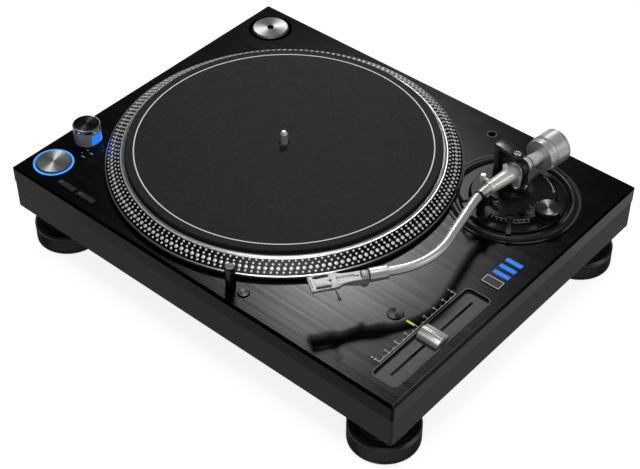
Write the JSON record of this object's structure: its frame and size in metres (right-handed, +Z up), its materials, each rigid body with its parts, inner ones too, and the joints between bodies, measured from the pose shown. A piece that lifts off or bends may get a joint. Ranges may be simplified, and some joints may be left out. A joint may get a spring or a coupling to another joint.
{
  "type": "turntable",
  "caption": "Direct-drive record turntable with a felt mat, an S-shaped tonearm, a tempo fader, lit controls and screw-levelling feet.",
  "frame": {"origin": "middle of the plinth, on the table plane under the soles", "axes": "+X to the right along the width, +Y to the back, +Z up"},
  "size_m": [0.453, 0.353, 0.1397],
  "materials": {
    "deck_black": "black brushed anodised top, gloss sides",
    "cabinet_dark": "fine matte grain",
    "cover_dark": "matte paint",
    "black_plastic": "black, smooth",
    "foot_black": "black, ribbed",
    "black_metal": "black anodised",
    "black_fittings": "black, satin",
    "silver": "satin turned",
    "silver_buttons": "satin silver",
    "black_buttons": "black, satin",
    "cream_silver": "satin",
    "weight_metal": "satin plated",
    "steel": "turned",
    "magnet": "sintered",
    "copper_coils": "wound",
    "bronze": "turned",
    "boards": "board",
    "blue_light": "lit blue lens",
    "felt": "felt",
    "sole_rubber": "matte"
  },
  "bodies": {
    "chassis": {"deck_plate": "deck_black", "base_cabinet": "cabinet_dark", "bottom_cover": "cover_dark", "cabinet_screws": "steel", "motor_stator": "copper_coils", "circuit_boards": "boards", "bearing_housing": "silver", "bearing_bush": "bronze", "strobe_housing": "silver", "strobe_window": "blue_light", "start_ring": "blue_light", "tempo_panel": "black_plastic", "fader_track": "steel", "indicator_lights": "blue_light", "shell_socket": "black_plastic", "arm_well": "black_plastic", "jack_panel": "cabinet_dark", "phono_jacks": "bronze", "ground_post": "steel", "power_inlet": "black_plastic"},
    "platter_body": {"platter": "silver", "rotor_magnet": "magnet", "spindle": "steel"},
    "mat_body": {"slipmat": "felt"},
    "adapter_body": {"adapter_45": "silver"},
    "start_button_body": {"start_button": "silver_buttons"},
    "speed_button_33_body": {"speed_button_33": "black_buttons"},
    "speed_button_45_body": {"speed_button_45": "black_buttons"},
    "reset_button_body": {"reset_button": "black_buttons"},
    "range_button_body": {"range_button": "black_buttons"},
    "lamp_button_body": {"lamp_button": "black_buttons"},
    "lamp_body": {"stylus_lamp": "black_metal"},
    "power_body": {"power_knob": "black_plastic"},
    "fader_body": {"fader_cap": "silver_buttons"},
    "base_body": {"arm_base": "black_metal", "arm_yoke": "black_metal", "pivot_screw": "steel", "arm_rest": "black_fittings"},
    "height_body": {"height_ring": "black_metal"},
    "lock_body": {"lock_knob": "black_metal"},
    "clip_body": {"rest_clip": "black_fittings"},
    "skate_body": {"antiskate_dial": "black_metal"},
    "cue_body": {"cue_lever": "black_metal"},
    "lifter_body": {"cue_lifter": "black_fittings"},
    "gimbal_body": {"gimbal_ring": "black_metal"},
    "arm_body": {"arm_housing": "cream_silver", "arm_tube": "silver"},
    "force_body": {"force_dial": "silver"},
    "weight_body": {"counterweight": "weight_metal"},
    "nut_body": {"shell_nut": "silver"},
    "shell_body": {"headshell": "silver", "finger_lift": "silver"},
    "sole_front_left_body": {"sole_front_left": "sole_rubber"},
    "foot_front_left_body": {"foot_front_left": "foot_black"},
    "sole_front_right_body": {"sole_front_right": "sole_rubber"},
    "foot_front_right_body": {"foot_front_right": "foot_black"},
    "sole_rear_left_body": {"sole_rear_left": "sole_rubber"},
    "foot_rear_left_body": {"foot_rear_left": "foot_black"},
    "sole_rear_right_body": {"sole_rear_right": "sole_rubber"},
    "foot_rear_right_body": {"foot_rear_right": "foot_black"}
  },
  "joints": [
    {"name": "platter_spin", "type": "hinge", "parent": "chassis", "child": "platter_body", "pos_m": [-0.0436, -0.00175, 0.1015], "axis": [0, 0, 1], "continuous": true},
    {"name": "mat_slip", "type": "hinge", "parent": "platter_body", "child": "mat_body", "pos_m": [-0.0436, -0.00175, 0.1045], "axis": [0, 0, 1], "continuous": true},
    {"name": "adapter_lift", "type": "slide", "parent": "chassis", "child": "adapter_body", "axis": [0, 0, 1], "range_m": [0, 0.03]},
    {"name": "start_press", "type": "slide", "parent": "chassis", "child": "start_button_body", "axis": [0, 0, -1], "range_m": [0, 0.0015], "stiffness_N_per_m": 900},
    {"name": "speed_33_press", "type": "slide", "parent": "chassis", "child": "speed_button_33_body", "axis": [0, 0, -1], "range_m": [0, 0.0012], "stiffness_N_per_m": 700},
    {"name": "speed_45_press", "type": "slide", "parent": "chassis", "child": "speed_button_45_body", "axis": [0, 0, -1], "range_m": [0, 0.0012], "stiffness_N_per_m": 700},
    {"name": "reset_press", "type": "slide", "parent": "chassis", "child": "reset_button_body", "axis": [0, 0, -1], "range_m": [0, 0.0012], "stiffness_N_per_m": 700},
    {"name": "range_press", "type": "slide", "parent": "chassis", "child": "range_button_body", "axis": [0, 0, -1], "range_m": [0, 0.0012], "stiffness_N_per_m": 700},
    {"name": "lamp_press", "type": "slide", "parent": "chassis", "child": "lamp_button_body", "axis": [0, 0, -1], "range_m": [0, 0.0012], "stiffness_N_per_m": 700},
    {"name": "lamp_slide", "type": "slide", "parent": "chassis", "child": "lamp_body", "axis": [0, 0, 1], "range_m": [-0.0225, 0]},
    {"name": "power_turn", "type": "hinge", "parent": "chassis", "child": "power_body", "pos_m": [-0.2024, -0.1025, 0.103], "axis": [0, 0, -1], "range_deg": [0, 45]},
    {"name": "fader_slide", "type": "slide", "parent": "chassis", "child": "fader_body", "axis": [0, 1, 0], "range_m": [-0.05, 0.05]},
    {"name": "height_slide", "type": "slide", "parent": "chassis", "child": "base_body", "axis": [0, 0, 1], "range_m": [0, 0.006]},
    {"name": "height_turn", "type": "hinge", "parent": "chassis", "child": "height_body", "pos_m": [0.1513, 0.089, 0.087], "axis": [0, 0, 1], "range_deg": [0, 120]},
    {"name": "lock_turn", "type": "hinge", "parent": "base_body", "child": "lock_body", "pos_m": [0.1753, 0.0675, 0.098], "axis": [0, 0, -1], "range_deg": [0, 90]},
    {"name": "clip_turn", "type": "hinge", "parent": "base_body", "child": "clip_body", "pos_m": [0.1402, 0.045, 0.1113], "axis": [0, -1, 0], "range_deg": [-130, 0]},
    {"name": "antiskate_turn", "type": "hinge", "parent": "base_body", "child": "skate_body", "pos_m": [0.1919, 0.0838, 0.098], "axis": [0, 0, -1], "range_deg": [0, 270]},
    {"name": "cue_swing", "type": "hinge", "parent": "base_body", "child": "cue_body", "pos_m": [0.16907, 0.05943, 0.0933], "axis": [-0.8572, -0.515, 0], "range_deg": [0, 40]},
    {"name": "cue_lift", "type": "slide", "parent": "base_body", "child": "lifter_body", "axis": [0, 0, 1], "range_m": [0, 0.007]},
    {"name": "arm_swing", "type": "hinge", "parent": "base_body", "child": "gimbal_body", "pos_m": [0.1513, 0.089, 0.117], "axis": [0, 0, 1], "range_deg": [-44, 0]},
    {"name": "arm_lift", "type": "hinge", "parent": "gimbal_body", "child": "arm_body", "pos_m": [0.1513, 0.089, 0.108], "axis": [-0.9925, 0.1219, 0], "range_deg": [0, 9]},
    {"name": "weight_travel", "type": "slide", "parent": "arm_body", "child": "force_body", "axis": [0.1219, 0.9925, 0], "range_m": [-0.006, 0.006]},
    {"name": "weight_turn", "type": "hinge", "parent": "force_body", "child": "weight_body", "pos_m": [0.15739, 0.13863, 0.119], "axis": [0.1219, 0.9925, 0], "range_deg": [-720, 720]},
    {"name": "nut_turn", "type": "hinge", "parent": "arm_body", "child": "nut_body", "pos_m": [0.14182, -0.0925, 0.119], "axis": [-0.5664, -0.8241, 0], "range_deg": [0, 90]},
    {"name": "shell_pull", "type": "slide", "parent": "arm_body", "child": "shell_body", "axis": [-0.5664, -0.8241, 0], "range_m": [0, 0.012]},
    {"name": "level_front_left", "type": "slide", "parent": "chassis", "child": "sole_front_left_body", "axis": [0, 0, -1], "range_m": [0, 0.008]},
    {"name": "turn_front_left", "type": "hinge", "parent": "sole_front_left_body", "child": "foot_front_left_body", "pos_m": [-0.1945, -0.1445, 0.01], "axis": [0, 0, -1], "range_deg": [0, 1440]},
    {"name": "level_front_right", "type": "slide", "parent": "chassis", "child": "sole_front_right_body", "axis": [0, 0, -1], "range_m": [0, 0.008]},
    {"name": "turn_front_right", "type": "hinge", "parent": "sole_front_right_body", "child": "foot_front_right_body", "pos_m": [0.1945, -0.1445, 0.01], "axis": [0, 0, -1], "range_deg": [0, 1440]},
    {"name": "level_rear_left", "type": "slide", "parent": "chassis", "child": "sole_rear_left_body", "axis": [0, 0, -1], "range_m": [0, 0.008]},
    {"name": "turn_rear_left", "type": "hinge", "parent": "sole_rear_left_body", "child": "foot_rear_left_body", "pos_m": [-0.1945, 0.1445, 0.01], "axis": [0, 0, -1], "range_deg": [0, 1440]},
    {"name": "level_rear_right", "type": "slide", "parent": "chassis", "child": "sole_rear_right_body", "axis": [0, 0, -1], "range_m": [0, 0.008]},
    {"name": "turn_rear_right", "type": "hinge", "parent": "sole_rear_right_body", "child": "foot_rear_right_body", "pos_m": [0.1945, 0.1445, 0.01], "axis": [0, 0, -1], "range_deg": [0, 1440]}
  ],
  "couplings": [
    {"joint": "height_turn", "follows": "height_slide", "rad_per_m": 349.07},
    {"joint": "cue_swing", "follows": "cue_lift", "rad_per_m": 99.723},
    {"joint": "weight_turn", "follows": "weight_travel", "rad_per_m": 2094.2},
    {"joint": "turn_front_left", "follows": "level_front_left", "rad_per_m": 3141.3},
    {"joint": "turn_front_right", "follows": "level_front_right", "rad_per_m": 3141.3},
    {"joint": "turn_rear_left", "follows": "level_rear_left", "rad_per_m": 3141.3},
    {"joint": "turn_rear_right", "follows": "level_rear_right", "rad_per_m": 3141.3}
  ]
}
